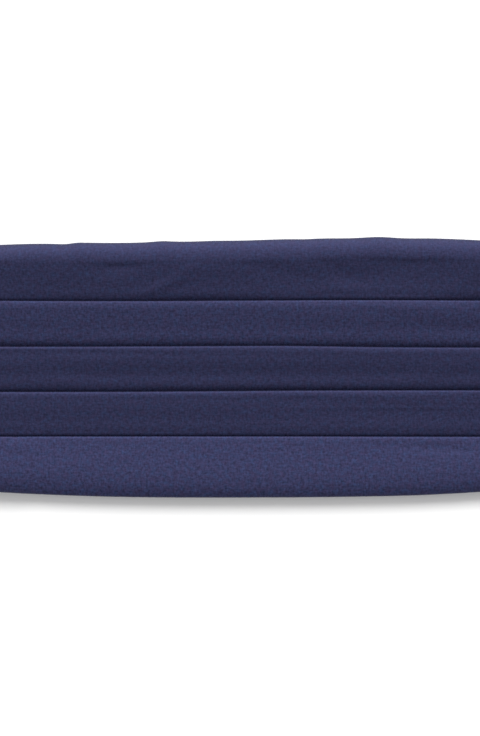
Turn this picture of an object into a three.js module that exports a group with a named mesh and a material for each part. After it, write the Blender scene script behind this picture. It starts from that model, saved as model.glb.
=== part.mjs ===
// A pleated cummerbund, fastened behind and lying face up. Millimetres, +Z up off the surface it lies on.
// +X runs along the length, +Y is the edge that is worn uppermost. The pleats' fold edges face +Y.
import * as THREE from 'three';

// Cloth
const clothThickness = 1.0;
const layerGap = 0.25; // between layers of the same folded cloth
const clearance = 0.3; // between one piece and the next

// Pleated front
const panelLength = 372;
const topBand = 27.8; // top edge to the first fold edge, at mid length
const pleatSpacing = 21.2; // fold edge to fold edge
const bottomBand = 28.6; // last fold edge to the bottom edge, at mid length
const pleatCount = 4;
const pleatDepth = 8; // how far each fold's hidden cloth reaches below its edge
const crevice = 2.9; // width over which a band dips in under the next fold
const tuck = 1.4; // how far behind a fold edge the band above reaches its lowest layer
const topRoll = 10; // width of the rounding along the top edge
const bottomRoll = 5.2; // width of the rounding along the bottom edge
const underRoll = 8; // width of the rounding behind either edge
const floorGap = 0.4; // height of the rolled edges over the surface

// Straps
const strapWidth = 38;
const strapThickness = 1.0;
const strapInTab = 14; // length of strap held inside each tab
const strapTurnOut = 2; // length of strap between a tab's end and its turn
const strapSettle = 9; // length over which the turned-back tail comes down onto the strap
const strapTail = 18; // length of the turned-back tail past the clasp
const tailToTab = 5; // from the left strap's tail to its tab's mouth

// Clasp
const claspThickness = 1.8;
const claspBar = 3.5; // width of the outer bars
const claspBridge = 7; // width of the bar between the two slots
const claspSlot = 4; // width of each slot
const claspBevel = 0.3;
const claspCorner = 2.5;
const slotCorner = 0.6;
const slotSpare = 1; // how much longer each slot is than the strap is wide
const barSlack = 0.5; // between a clasp's bar and the strap's loop round it

// Tabs
const tabReach = 44; // from the panel's end to the tab's outer end
const tabOverlap = 10; // how far a tab takes in the panel's end
const tabCorner = 4; // width of the rounding along a tab's edges at its wide end
const tabWall = 1.0;

// How the back lies over what is under it
const backMargin = 3; // how far past each thing beneath it the back stays level
const claspFall = 18; // length over which it comes down past the clasp
const tailFall = 16; // and past a tail
const tabFall = 24; // and past a tab

const pitch = clothThickness + layerGap; // one layer of cloth to the next
const foldHeight = 2 * pitch; // a fold stands on its own turned-back layer and the band above it
const halfLength = panelLength / 2;
const halfHeight = (topBand + (pleatCount - 1) * pleatSpacing + bottomBand) / 2;
const firstFold = halfHeight - topBand;
const slotLength = strapWidth + slotSpare;
const claspLength = claspBridge + 2 * claspSlot + 2 * claspBar;
const claspWidth = slotLength + 2 * claspBar;
const flatBack = claspWidth / 2 + clothThickness + clearance; // half the width of the back's level middle
const tabMouth = halfLength - tabOverlap;
const tailReach = claspLength / 2 + strapTail; // from the clasp's middle to the end of a tail
const claspPlace = tailReach + tailToTab - tabMouth; // the clasp lies towards the left tab

// Heights over the surface, worked out from what lies beneath
const onStrap = strapThickness + clearance; // underside of what lies on a strap
const claspStack = onStrap + claspThickness + clearance + strapThickness;
const backOverClasp = claspStack + clearance;
const backOverTail = onStrap + strapThickness + clearance;
const backInTab = onStrap + tabWall + clearance;

// Sections along the panel. along is a share of the half length, top and bottom are shares of the
// half height and sag is the share of the edges' fall from the back to the surface.
const panelSections = [
  { along: -1.0, top: 0.89, bottom: 0.858, sag: 0 },
  { along: -0.9, top: 0.912, bottom: 0.891, sag: 0 },
  { along: -0.84, top: 0.926, bottom: 0.909, sag: 0.3 },
  { along: -0.77, top: 0.939, bottom: 0.925, sag: 0.6 },
  { along: -0.69, top: 0.952, bottom: 0.94, sag: 0.8 },
  { along: -0.63, top: 0.962, bottom: 0.952, sag: 0.95 },
  { along: -0.55, top: 0.97, bottom: 0.966, sag: 1 },
  { along: -0.47, top: 0.974, bottom: 0.977, sag: 1 },
  { along: -0.36, top: 0.984, bottom: 0.988, sag: 1 },
  { along: -0.2, top: 0.996, bottom: 0.997, sag: 1 },
  { along: 0, top: 1, bottom: 1, sag: 1 },
  { along: 0.2, top: 1.015, bottom: 0.997, sag: 1 },
  { along: 0.38, top: 1.027, bottom: 0.986, sag: 1 },
  { along: 0.47, top: 1.017, bottom: 0.977, sag: 1 },
  { along: 0.6, top: 1.005, bottom: 0.958, sag: 1 },
  { along: 0.78, top: 0.97, bottom: 0.922, sag: 0.55 },
  { along: 0.9, top: 0.94, bottom: 0.891, sag: 0 },
  { along: 1.0, top: 0.91, bottom: 0.858, sag: 0 },
];

// The front's height over its lowest layer, in shares of the fold height. down is a share of the
// stretch that each table covers, from its upper end.
const overFold = [
  { down: 0.12, height: 1.07 },
  { down: 0.3, height: 1.1 },
  { down: 0.6, height: 1.05 },
]; // from a fold edge over its hidden cloth
const belowFold = [
  { down: 0.05, height: 0.96 },
  { down: 0.5, height: 0.79 },
  { down: 1, height: 0.64 },
]; // on to where the crevice starts
const intoCrevice = [
  { down: 0.2, height: 0.59 },
  { down: 0.5, height: 0.48 },
  { down: 0.76, height: 0.33 },
  { down: 1, height: 0.1 },
]; // down to the next fold edge
const underEdge = [
  { down: 0.3, height: 0.03 },
  { down: 1, height: 0 },
]; // and in behind it
const topSurface = [
  { down: 0, height: 1.34 },
  { down: 0.25, height: 1.21 },
  { down: 0.5, height: 1 },
  { down: 0.75, height: 0.81 },
  { down: 1, height: 0.64 },
]; // from the top roll's crest to the first crevice
const bottomSurface = [
  { down: 0.04, height: 1.07 },
  { down: 0.1, height: 1.13 },
  { down: 0.4, height: 1.45 },
  { down: 0.7, height: 1.77 },
  { down: 0.85, height: 1.89 },
  { down: 1, height: 1.93 },
]; // from the last fold edge to the bottom roll's crest
// Heights of the rolls' outermost lines, as shares of the way from their back to their crest
const bottomEdgeLevel = 0.82;
const topEdgeLevel = 0.25;
const tabEdgeLevel = 0.45; // of both, inside a tab
const rollTurns = [0.2, 0.4, 0.6, 0.8]; // shares of a quarter turn, from a roll's crest to its edge
const backShares = [0.85, 0.55, 0.3, 0]; // places on the back wall, from its level middle to a roll

// Soft dents in the top band. along is a share of the half length, up a share of the top band above
// the first fold; reach is a share of the half length, spread of the band and depth of the fold height.
const dents = [
  { along: 0.38, up: 0.5, reach: 0.19, spread: 0.24, depth: 0.3 },
  { along: 0.08, up: 0.54, reach: 0.08, spread: 0.14, depth: 0.16 },
  { along: -0.31, up: 0.53, reach: 0.08, spread: 0.14, depth: 0.16 },
  { along: -0.17, up: 0.3, reach: 0.1, spread: 0.2, depth: -0.12 },
];

// The space inside a tab along its taper. along is a share of the tab's reach from the panel's end
// and panel is how much of the panel's size is left there, the strap's being the rest.
const tabTaper = [
  { along: 0, panel: 1 },
  { along: 0.12, panel: 0.95 },
  { along: 0.35, panel: 0.71 },
  { along: 0.6, panel: 0.4 },
  { along: 0.84, panel: 0.11 },
  { along: 1, panel: 0 },
];

const { lerp, smoothstep } = THREE.MathUtils;

// What lifts the back off the straps, by its middle and its reach either way along the loop.
const lifts = [
  { middle: -halfLength, reach: tabOverlap, height: backInTab, fall: tabFall },
  { middle: claspPlace, reach: tailReach, height: backOverTail, fall: tailFall },
  { middle: claspPlace, reach: claspLength / 2, height: backOverClasp, fall: claspFall },
  { middle: halfLength, reach: tabOverlap, height: backInTab, fall: tabFall },
];

// Height of the back's underside at a place along the loop.
function backHeight(x) {
  return Math.max(...lifts.map(({ middle, reach, height, fall }) => {
    const past = Math.abs(x - middle) - reach;
    return lerp(height, onStrap, smoothstep(past, backMargin, backMargin + fall));
  }));
}

// The panel's outline and heights at a share of its half length, straight between the sections.
function panelAt(along) {
  const next = Math.max(1, panelSections.findIndex((row) => row.along >= along));
  const from = panelSections[next - 1];
  const to = panelSections[next];
  const share = (along - from.along) / (to.along - from.along);
  const between = (column) => lerp(from[column], to[column], share);
  const sag = between('sag');
  const back = backHeight(along * halfLength);
  const edge = lerp(back, floorGap, sag);
  return {
    topLevel: lerp(tabEdgeLevel, topEdgeLevel, sag),
    bottomLevel: lerp(tabEdgeLevel, bottomEdgeLevel, sag),
    top: between('top') * halfHeight,
    bottom: -between('bottom') * halfHeight,
    back: back + clothThickness / 2,
    edge: edge + clothThickness / 2,
    layer: back + clothThickness + layerGap + clothThickness / 2,
  };
}

// A stretch of the front's surface between two places down the panel.
function surface(rows, fromY, toY, layer) {
  return rows.map(({ down, height }) => [lerp(fromY, toY, down), layer + height * foldHeight]);
}

// A quarter of an ellipse between a roll's crest or back, at turn 0, and its edge, at turn 1.
function roll(centreY, centreZ, reachY, reachZ, turns) {
  return turns.map((turn) => {
    const angle = (turn * Math.PI) / 2;
    return [centreY + reachY * Math.sin(angle), centreZ + reachZ * Math.cos(angle)];
  });
}

// Points on an arc, turning by the given share of a full turn.
function arc(centreX, centreZ, radius, startAngle, turn, steps) {
  return Array.from({ length: steps + 1 }, (_, i) => {
    const angle = startAngle + (2 * Math.PI * turn * i) / steps;
    return [centreX + radius * Math.cos(angle), centreZ + radius * Math.sin(angle)];
  });
}

function dentDepth(along, y) {
  return dents.reduce((sum, dent) => {
    const across = (along - dent.along) / dent.reach;
    const upward = (y - firstFold - dent.up * topBand) / (dent.spread * topBand);
    return sum + dent.depth * foldHeight * Math.exp(-across * across - upward * upward);
  }, 0);
}

// One pleat: the band above dips in and runs behind, turns back up and turns over at the fold edge.
function pleat(edge, layer) {
  const straightDown = -Math.PI / 2;
  const overY = edge - clothThickness / 2 - pitch / 2;
  return [
    ...surface(intoCrevice, edge + crevice, edge, layer),
    ...surface(underEdge, edge, edge - tuck, layer),
    ...arc(edge - pleatDepth, layer + pitch / 2, pitch / 2, straightDown, -0.5, 3),
    ...arc(overY, layer + 1.5 * pitch, pitch / 2, straightDown, 0.5, 4),
  ];
}

// The band below a fold edge, down to the next crevice or to the crest of the bottom roll.
function band(edge, nextEdge, bottomCrest, layer) {
  const overY = edge - clothThickness / 2 - pitch / 2;
  if (nextEdge === undefined) {
    return surface(bottomSurface, overY, bottomCrest, layer);
  }
  const behind = edge - pleatDepth;
  return [
    ...surface(overFold, overY, behind, layer),
    ...surface(belowFold, behind, nextEdge + crevice, layer),
  ];
}

// The plain back wall, level behind the strap and falling to the rolled edge on either side of it.
function backWall({ top, bottom, back, edge }) {
  const height = (share) => lerp(back, edge, smoothstep(share, 0, 1));
  const lower = backShares.map((share) => [lerp(-flatBack, bottom + underRoll, share), height(share)]);
  const upper = backShares.map((share) => [lerp(flatBack, top - underRoll, share), height(share)]);
  return [...lower, ...upper.reverse()];
}

// The middle line of the folded cloth at one section: down the front, round the bottom edge, up the
// back and round the top edge.
function panelPath(along) {
  const place = panelAt(along);
  const { top, bottom, edge, layer } = place;
  const half = clothThickness / 2;
  const foldEdges = Array.from({ length: pleatCount }, (_, i) => firstFold - i * pleatSpacing);
  const topCrest = top - topRoll;
  const bottomCrest = bottom + bottomRoll;
  const topUnder = top - underRoll;
  const bottomUnder = bottom + underRoll;
  const topZ = layer + topSurface[0].height * foldHeight;
  const bottomZ = layer + bottomSurface[bottomSurface.length - 1].height * foldHeight;
  const topEdgeZ = lerp(edge, topZ, place.topLevel);
  const bottomEdgeZ = lerp(edge, bottomZ, place.bottomLevel);
  const towardsCrest = [...rollTurns].reverse();
  const topBandRows = surface(topSurface, topCrest, firstFold + crevice, layer);
  return [
    [top - half, topEdgeZ],
    ...roll(topCrest, topEdgeZ, topRoll - half, topZ - topEdgeZ, towardsCrest),
    ...topBandRows.map(([y, z]) => [y, z - dentDepth(along, y)]),
    ...foldEdges.flatMap((y, i) => [
      ...pleat(y, layer),
      ...band(y, foldEdges[i + 1], bottomCrest, layer),
    ]),
    ...roll(bottomCrest, bottomEdgeZ, half - bottomRoll, bottomZ - bottomEdgeZ, rollTurns),
    [bottom + half, bottomEdgeZ],
    ...roll(bottomUnder, bottomEdgeZ, half - underRoll, edge - bottomEdgeZ, towardsCrest),
    [bottomUnder, edge],
    ...backWall(place),
    [topUnder, edge],
    ...roll(topUnder, topEdgeZ, underRoll - half, edge - topEdgeZ, rollTurns),
  ];
}

// Moves each point of a path to the left of its direction by a distance, or right if negative.
function offset(path, distance, closed) {
  const last = path.length - 1;
  return path.map(([x, z], i) => {
    const before = path[i > 0 ? i - 1 : closed ? last : 0];
    const after = path[i < last ? i + 1 : closed ? 0 : last];
    const into = new THREE.Vector2(x - before[0], z - before[1]).normalize();
    const out = new THREE.Vector2(after[0] - x, after[1] - z).normalize();
    const along = into.clone().add(out).normalize();
    const cosine = along.dot(out.length() > 0 ? out : into);
    return [x - (along.y * distance) / cosine, z + (along.x * distance) / cosine];
  });
}

// A cloth sleeve through sections along X: two skins a wall apart, joined at both ends.
function sleeve(sections) {
  const ordered = [...sections].sort((a, b) => a.x - b.x);
  const count = ordered[0].outer.length;
  const positions = [];
  ordered.forEach(({ x, outer, inner }) => {
    [...outer, ...inner].forEach(([y, z]) => positions.push(x, y, z));
  });
  const outside = (i, j) => 2 * count * i + (j % count);
  const inside = (i, j) => outside(i, j) + count;
  const index = [];
  const face = (a, b, c, d) => index.push(a, b, c, a, c, d);
  const last = ordered.length - 1;
  for (let j = 0; j < count; j += 1) {
    for (let i = 0; i < last; i += 1) {
      face(outside(i, j), outside(i, j + 1), outside(i + 1, j + 1), outside(i + 1, j));
      face(inside(i, j), inside(i + 1, j), inside(i + 1, j + 1), inside(i, j + 1));
    }
    face(outside(0, j), inside(0, j), inside(0, j + 1), outside(0, j + 1));
    face(outside(last, j), outside(last, j + 1), inside(last, j + 1), inside(last, j));
  }
  const geometry = new THREE.BufferGeometry();
  geometry.setAttribute('position', new THREE.Float32BufferAttribute(positions, 3));
  geometry.setIndex(index);
  geometry.computeVertexNormals();
  return geometry;
}

function pleatedPanel() {
  const half = clothThickness / 2;
  return sleeve(panelSections.map(({ along }) => {
    const path = panelPath(along);
    return {
      x: along * halfLength,
      outer: offset(path, -half, true),
      inner: offset(path, half, true),
    };
  }));
}

// The highest the panel's front reaches at a share of its half length.
function panelTop(along) {
  const crests = [...topSurface, ...bottomSurface].map((row) => row.height);
  return panelAt(along).layer + Math.max(...crests) * foldHeight + clothThickness / 2;
}

// The space inside a tab at each of its sections, from its mouth over the panel to the strap.
function tabSpaces(side) {
  const mouth = tabMouth / halfLength;
  const low = backInTab - clearance;
  const overPanel = (along) => {
    const { top, bottom } = panelAt(side * along);
    return {
      x: along * halfLength,
      top: top + clearance,
      bottom: bottom - clearance,
      low,
      high: panelTop(side * mouth) + clearance,
      corner: tabCorner,
    };
  };
  const wide = overPanel(1);
  const narrow = {
    top: strapWidth / 2 + clearance,
    bottom: -strapWidth / 2 - clearance,
    high: backInTab + strapThickness + clearance,
    corner: clearance,
  };
  const taper = tabTaper.map(({ along, panel }) => ({
    x: halfLength + along * tabReach,
    top: lerp(narrow.top, wide.top, panel),
    bottom: lerp(narrow.bottom, wide.bottom, panel),
    low,
    high: lerp(narrow.high, wide.high, panel),
    corner: lerp(narrow.corner, wide.corner, panel),
  }));
  return [overPanel(mouth), ...taper];
}

// A flat closed curve with elliptical ends, a wall outside the given space.
function flatRing({ top, bottom, low, high, corner }, wall) {
  const middle = (low + high) / 2;
  const reachZ = (high - low) / 2 + wall;
  const reachY = corner + wall;
  const upperY = top - corner;
  const lowerY = bottom + corner;
  const turns = Array.from({ length: 9 }, (_, i) => (i * Math.PI) / 8);
  const shares = Array.from({ length: 5 }, (_, i) => (i + 1) / 6);
  return [
    ...shares.map((share) => [lerp(upperY, lowerY, share), middle + reachZ]),
    ...turns.map((turn) => [lowerY - reachY * Math.sin(turn), middle + reachZ * Math.cos(turn)]),
    ...shares.map((share) => [lerp(lowerY, upperY, share), middle - reachZ]),
    ...turns.map((turn) => [upperY + reachY * Math.sin(turn), middle - reachZ * Math.cos(turn)]),
  ];
}

function endTab(side) {
  return sleeve(tabSpaces(side).map((space) => ({
    x: side * space.x,
    outer: flatRing(space, tabWall),
    inner: flatRing(space, 0),
  })));
}

// A strap's middle line seen from the side, measured from the clasp's middle: out of the tab, round
// under it, along the surface to the clasp, up through its slot, over its outer bar and back down onto
// itself.
function strapPath(tabEnd) {
  const half = strapThickness / 2;
  const inTab = backInTab + half;
  const turnRadius = (inTab - half) / 2;
  const barInner = claspBridge / 2 + claspSlot;
  const barOuter = barInner + claspBar;
  const loopRadius = (claspStack - strapThickness) / 2;
  const loopX = barInner - barSlack - half + loopRadius;
  const overBar = claspStack - half;
  const quarterTurn = Math.PI / 2;
  const settling = [0, 0.2, 0.4, 0.6, 0.8, 1].map((share) => [
    barOuter + share * strapSettle,
    lerp(overBar, onStrap + half, smoothstep(share, 0, 1)),
  ]);
  return [
    [tabEnd - strapInTab, inTab],
    ...arc(tabEnd + strapTurnOut, half + turnRadius, turnRadius, quarterTurn, -0.5, 8),
    ...arc(loopX, half + loopRadius, loopRadius, -quarterTurn, -0.5, 8),
    ...settling,
    [tailReach, onStrap + half],
  ];
}

function strap(side) {
  const path = strapPath(halfLength + tabReach - side * claspPlace);
  const half = strapThickness / 2;
  const outline = [...offset(path, half, false), ...offset(path, -half, false).reverse()];
  const shape = new THREE.Shape(outline.map(([x, z]) => new THREE.Vector2(claspPlace + side * x, z)));
  const geometry = new THREE.ExtrudeGeometry(shape, { depth: strapWidth, bevelEnabled: false });
  geometry.rotateX(Math.PI / 2);
  geometry.translate(0, strapWidth / 2, 0);
  return geometry;
}

// Draws a rectangle with round corners about a centre on the X axis.
function roundedRectangle(path, centreX, sizeX, sizeY, radius) {
  const x = sizeX / 2 - radius;
  const y = sizeY / 2 - radius;
  const quarterTurn = Math.PI / 2;
  path.moveTo(centreX + x + radius, y);
  path.absarc(centreX + x, y, radius, 0, quarterTurn);
  path.absarc(centreX - x, y, radius, quarterTurn, 2 * quarterTurn);
  path.absarc(centreX - x, -y, radius, 2 * quarterTurn, 3 * quarterTurn);
  path.absarc(centreX + x, -y, radius, 3 * quarterTurn, 4 * quarterTurn);
  return path;
}

function clasp() {
  const inset = 2 * claspBevel; // the bevel grows an outline outwards and a slot inwards
  const outline = roundedRectangle(
    new THREE.Shape(), 0, claspLength - inset, claspWidth - inset, claspCorner,
  );
  const slotX = (claspBridge + claspSlot) / 2;
  outline.holes = [-slotX, slotX].map((x) => roundedRectangle(
    new THREE.Path(), x, claspSlot + inset, slotLength + inset, slotCorner,
  ));
  const geometry = new THREE.ExtrudeGeometry(outline, {
    depth: claspThickness - inset,
    curveSegments: 2,
    bevelSize: claspBevel,
    bevelThickness: claspBevel,
    bevelSegments: 1,
  });
  geometry.translate(claspPlace, 0, onStrap + claspBevel);
  return geometry;
}

const pleatedCloth = new THREE.MeshStandardMaterial({ color: '#33365a', roughness: 0.8, metalness: 0 });
const plainCloth = new THREE.MeshStandardMaterial({ color: '#2f3152', roughness: 0.85, metalness: 0 });
const webbing = new THREE.MeshStandardMaterial({ color: '#26283f', roughness: 0.9, metalness: 0 });
const claspMetal = new THREE.MeshStandardMaterial({ color: '#b9b9bd', roughness: 0.3, metalness: 1 });

const cummerbund = new THREE.Group();

function add(name, geometry, material) {
  const mesh = new THREE.Mesh(geometry, material);
  mesh.name = name;
  cummerbund.add(mesh);
}

add('pleated_panel', pleatedPanel(), pleatedCloth);
add('end_tab_left', endTab(-1), plainCloth);
add('end_tab_right', endTab(1), plainCloth);
add('strap_left', strap(-1), webbing);
add('strap_right', strap(1), webbing);
add('clasp', clasp(), claspMetal);

export default cummerbund;
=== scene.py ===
"""Finish of a pleated cummerbund that is fastened behind and lies face up on a pale surface."""

import math

import bpy
import numpy as np
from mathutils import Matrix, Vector
from mathutils.bvhtree import BVHTree


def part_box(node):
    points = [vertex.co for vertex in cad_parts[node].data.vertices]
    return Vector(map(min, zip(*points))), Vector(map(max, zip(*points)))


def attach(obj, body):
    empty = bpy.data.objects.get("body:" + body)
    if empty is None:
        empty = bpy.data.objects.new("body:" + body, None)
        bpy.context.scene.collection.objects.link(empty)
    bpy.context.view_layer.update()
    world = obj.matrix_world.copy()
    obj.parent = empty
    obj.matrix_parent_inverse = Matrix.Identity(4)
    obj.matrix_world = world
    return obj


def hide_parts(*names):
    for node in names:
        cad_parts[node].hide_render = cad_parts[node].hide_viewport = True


bl_info = {
    "name": "Pleated cummerbund",
    "version": (1, 0, 0),
    "blender": (4, 5, 0),
    "location": "3D View > Sidebar > Cummerbund",
    "description": "Cloth, straps, clasp and stitching of a pleated cummerbund",
    "category": "Object",
}

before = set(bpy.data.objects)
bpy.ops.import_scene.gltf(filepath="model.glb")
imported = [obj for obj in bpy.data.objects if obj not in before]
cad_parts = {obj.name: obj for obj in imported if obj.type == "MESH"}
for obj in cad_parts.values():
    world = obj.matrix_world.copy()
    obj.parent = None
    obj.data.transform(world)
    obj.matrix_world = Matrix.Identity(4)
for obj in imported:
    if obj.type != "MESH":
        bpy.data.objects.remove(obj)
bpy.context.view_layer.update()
BODY = "root"
MM = 0.001


def frame_size(node, axis):
    """Size of one of the frame's nodes along an axis, 0 to 2."""
    low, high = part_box(node)
    return high[axis] - low[axis]


def table(columns, *rows):
    """Rows of numbers under their columns' names."""
    return [dict(zip(columns.split(), row)) for row in rows]


# Sections along the panel. along is a share of the half length, top and bottom are shares of the half
# height and sag is the share of the edges' fall from the back to the surface.
PANEL_SECTIONS = table(
    "along top bottom sag",
    (-1.0, 0.89, 0.858, 0.0),
    (-0.9, 0.912, 0.891, 0.0),
    (-0.84, 0.926, 0.909, 0.3),
    (-0.77, 0.939, 0.925, 0.6),
    (-0.69, 0.952, 0.94, 0.8),
    (-0.63, 0.962, 0.952, 0.95),
    (-0.55, 0.97, 0.966, 1.0),
    (-0.47, 0.974, 0.977, 1.0),
    (-0.36, 0.984, 0.988, 1.0),
    (-0.2, 0.996, 0.997, 1.0),
    (0.0, 1.0, 1.0, 1.0),
    (0.2, 1.015, 0.997, 1.0),
    (0.38, 1.027, 0.986, 1.0),
    (0.47, 1.017, 0.977, 1.0),
    (0.6, 1.005, 0.958, 1.0),
    (0.78, 0.97, 0.922, 0.55),
    (0.9, 0.94, 0.891, 0.0),
    (1.0, 0.91, 0.858, 0.0),
)

# The front's height over its lowest layer, in shares of the fold height. down is a share of the
# stretch that each table covers, from its upper end. swell is how far a full fold stands up more.
OVER_FOLD = table(
    "down height swell",
    (0.0, 1.0, 0.0),
    (0.12, 0.995, 0.075),
    (0.3, 0.99, 0.11),
    (0.6, 0.975, 0.075),
)
BELOW_FOLD = table(
    "down height",
    (0.05, 0.96),
    (0.5, 0.79),
    (1.0, 0.64),
)
INTO_CREVICE = table(
    "down height",
    (0.2, 0.59),
    (0.5, 0.48),
    (0.65, 0.4),
    (0.76, 0.33),
    (0.88, 0.22),
    (1.0, 0.1),
)
UNDER_EDGE = table(
    "down height",
    (0.3, 0.03),
    (1.0, 0.0),
)
TOP_SURFACE = table(
    "down height",
    (0.0, 1.34),
    (0.25, 1.21),
    (0.5, 1.0),
    (0.75, 0.81),
    (1.0, 0.64),
)
BOTTOM_SURFACE = table(
    "down height swell",
    (0.0, 1.0, 0.0),
    (0.04, 1.03, 0.04),
    (0.1, 1.09, 0.04),
    (0.4, 1.45, 0.0),
    (0.7, 1.77, 0.0),
    (0.85, 1.89, 0.0),
    (1.0, 1.93, 0.0),
)

# Heights of the rolls' outermost lines, as shares of the way from their back to their crest
BOTTOM_EDGE_LEVEL = 0.74
TOP_EDGE_LEVEL = 0.25
TAB_EDGE_LEVEL = 0.45  # of both, inside a tab

# How far each fold edge strays from its place, in mm. along is a share of the half length.
FOLD_DRIFT = table(
    "along first second third fourth",
    (-1.0, -0.1, -0.1, -0.4, -0.3),
    (-0.6, -0.28, -0.55, -0.55, -0.3),
    (-0.2, -0.33, -0.38, -0.4, -0.25),
    (0.0, -0.15, -0.2, -0.15, -0.25),
    (0.1, -0.05, -0.15, 0.0, -0.25),
    (0.35, 0.1, -0.75, 0.15, -0.33),
    (0.6, -0.1, -0.95, 0.2, -0.38),
    (1.0, 0.0, -0.4, 0.1, -0.3),
)
# How far the outermost line and the crest of each roll stray from their place, in mm
TOP_DRIFT = table(
    "along edge crest",
    (-1.0, 0.0, 1.5),
    (-0.6, 0.45, 1.5),
    (-0.48, 0.43, 1.3),
    (-0.44, 0.15, 1.2),
    (-0.41, 0.62, 1.1),
    (-0.38, 0.4, 0.9),
    (-0.34, 0.12, 0.8),
    (-0.23, 0.0, 0.6),
    (-0.2, 0.32, 0.5),
    (-0.16, 0.05, 0.5),
    (-0.12, 0.04, 0.4),
    (-0.07, 0.33, 0.3),
    (0.0, 0.36, 0.3),
    (0.13, 0.45, 0.3),
    (0.165, 0.25, 0.4),
    (0.2, 0.4, 0.5),
    (0.29, 0.1, 0.8),
    (0.35, 0.4, 0.8),
    (0.41, 0.0, 0.8),
    (0.48, 0.42, 0.8),
    (0.6, 0.25, 0.6),
    (1.0, 0.0, 0.0),
)
BOTTOM_DRIFT = table(
    "along edge crest",
    (-1.0, 0.0, 0.0),
    (-0.6, -0.36, 2.2),
    (-0.4, -0.45, 1.8),
    (-0.2, -0.42, 1.2),
    (0.0, -0.3, 1.0),
    (0.35, -0.38, 1.0),
    (0.42, -0.45, 1.2),
    (0.6, -0.25, 1.6),
    (1.0, 0.0, 0.0),
)
# How far the cloth just above each fold edge stands up from its usual depth, in mm: a tight fold
# shows a thin dark line and a slack one a thick line.
FOLD_TIGHTNESS = table(
    "along first second third fourth",
    (-1.0, 0.1, -0.1, 0.0, 0.3),
    (-0.58, 0.3, -0.2, -0.05, 0.42),
    (-0.42, 0.05, -0.2, -0.05, 0.38),
    (-0.33, 0.1, -0.12, 0.0, 0.4),
    (-0.22, -0.02, -0.12, -0.24, 0.4),
    (-0.1, -0.32, -0.17, -0.26, 0.38),
    (0.0, -0.05, -0.1, -0.28, 0.34),
    (0.1, 0.25, -0.06, -0.3, 0.3),
    (0.22, 0.42, -0.08, -0.18, 0.28),
    (0.29, 0.58, -0.25, -0.14, 0.28),
    (0.4, 0.62, -0.22, -0.06, 0.26),
    (0.48, 0.45, -0.15, 0.0, 0.28),
    (0.56, 0.0, -0.15, -0.12, 0.28),
    (1.0, 0.1, 0.0, 0.0, 0.28),
)
# How full the cloth is just below each fold edge: 1 swells up as it should and 0 lies flat
FOLD_SWELL = table(
    "along first second third fourth",
    (-1.0, 0.9, -0.2, 0.8, 0.5),
    (-0.54, 0.9, -0.2, 0.8, 0.5),
    (-0.4, 1.0, 0.0, 0.9, 0.8),
    (-0.22, 1.0, 0.9, 1.0, 0.9),
    (-0.07, 1.0, 0.6, 0.9, 1.0),
    (0.05, 1.0, 0.7, 0.8, 1.0),
    (0.2, 1.0, 0.8, 0.9, 1.0),
    (0.33, 1.0, 1.1, 0.9, 0.9),
    (0.45, 0.95, 1.0, 0.6, 0.8),
    (0.55, 0.8, 0.8, 0.3, 0.7),
    (1.0, 0.8, 0.8, 0.3, 0.7),
)
# Painted light and shade on each band, as a share of its cloth's colour, from the top band down: it stands
# in for how each band faces the light. These match how bright the bands are in the photo, which the slopes
# that fit in the front's thickness don't give.
BAND_PAINTED_SHADING = [0.87, 1.12, 0.81, 0.92, 1.36]
FOLD_NAMES = ["first", "second", "third", "fourth"]

# Soft ridges in the front's cloth, and hollows where rise is below nought. x and y are places, long
# and wide are the half lengths and rise the height, all in mm. turn is in degrees from the length.
WRINKLES = table(
    "x y turn long wide rise",
    (71.0, 46.0, 2, 34, 6.0, -0.45),
    (46.0, 46.5, -28, 11, 4.0, -0.35),
    (79.0, 49.0, 2, 14, 3.0, -0.25),
    (15.0, 47.0, -8, 14, 4.0, -0.4),
    (-58.0, 47.5, 5, 13, 3.4, -0.55),
    (-35.0, 39.0, 20, 15, 2.0, 0.36),
    (-29.0, 44.0, 27, 13, 1.7, 0.26),
    (50.0, 38.0, -4, 13, 3.0, 0.16),
    (104.0, 40.0, 35, 12, 4.0, 0.2),
    (-92.0, 41.0, 12, 14, 3.5, 0.12),
    (42.0, 25.0, -3, 20, 3.0, 0.16),
    (58.0, 20.5, 42, 12, 1.8, 0.12),
    (94.0, 26.0, -4, 19, 4.0, 0.26),
    (0.0, -2.5, 0, 200, 4.5, -0.3),
    (75.0, -19.0, 0, 55, 4.0, -0.3),
    (50.0, 41.5, 0, 50, 5.0, -0.2),
    (105.0, 19.0, 0, 35, 4.5, -0.25),
    (-60.0, 7.4, 0, 60, 1.9, -0.24),
    (60.0, 6.6, 0, 50, 1.9, -0.12),
    (-10.0, -14.0, 0, 130, 1.9, -0.16),
    (-74.0, 14.5, 10, 6, 2.0, -0.2),
    (-35.0, 15.5, 38, 7, 2.0, 0.12),
    (-84.0, 6.5, -3, 24, 3.2, 0.2),
    (-90.0, -4.0, -6, 18, 3.5, 0.16),
    (21.0, 1.0, 60, 5, 1.6, 0.12),
    (90.0, -2.0, 18, 20, 3.6, 0.18),
    (88.0, -14.5, -3, 22, 3.6, 0.18),
    (30.0, -15.0, 8, 9, 3.0, -0.14),
    (90.0, -37.5, -3, 20, 2.4, -0.26),
    (-104.0, -36.0, -5, 10, 3.0, 0.22),
    (-60.0, -42.0, 12, 20, 3.0, 0.1),
)

# The space inside a tab along its taper. along is a share of the tab's reach from the panel's end
# and panel is how much of the panel's size is left there, the strap's being the rest.
TAB_TAPER = table(
    "along panel",
    (0.0, 1.0),
    (0.12, 0.95),
    (0.35, 0.71),
    (0.6, 0.4),
    (0.84, 0.11),
    (1.0, 0.0),
)


def length(name, default_mm, description):
    """A length property, given in millimetres and held in metres."""
    return bpy.props.FloatProperty(
        name=name,
        description=description,
        default=default_mm * MM,
        min=0.0,
        precision=5,
        subtype="DISTANCE",
        unit="LENGTH",
    )


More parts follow.
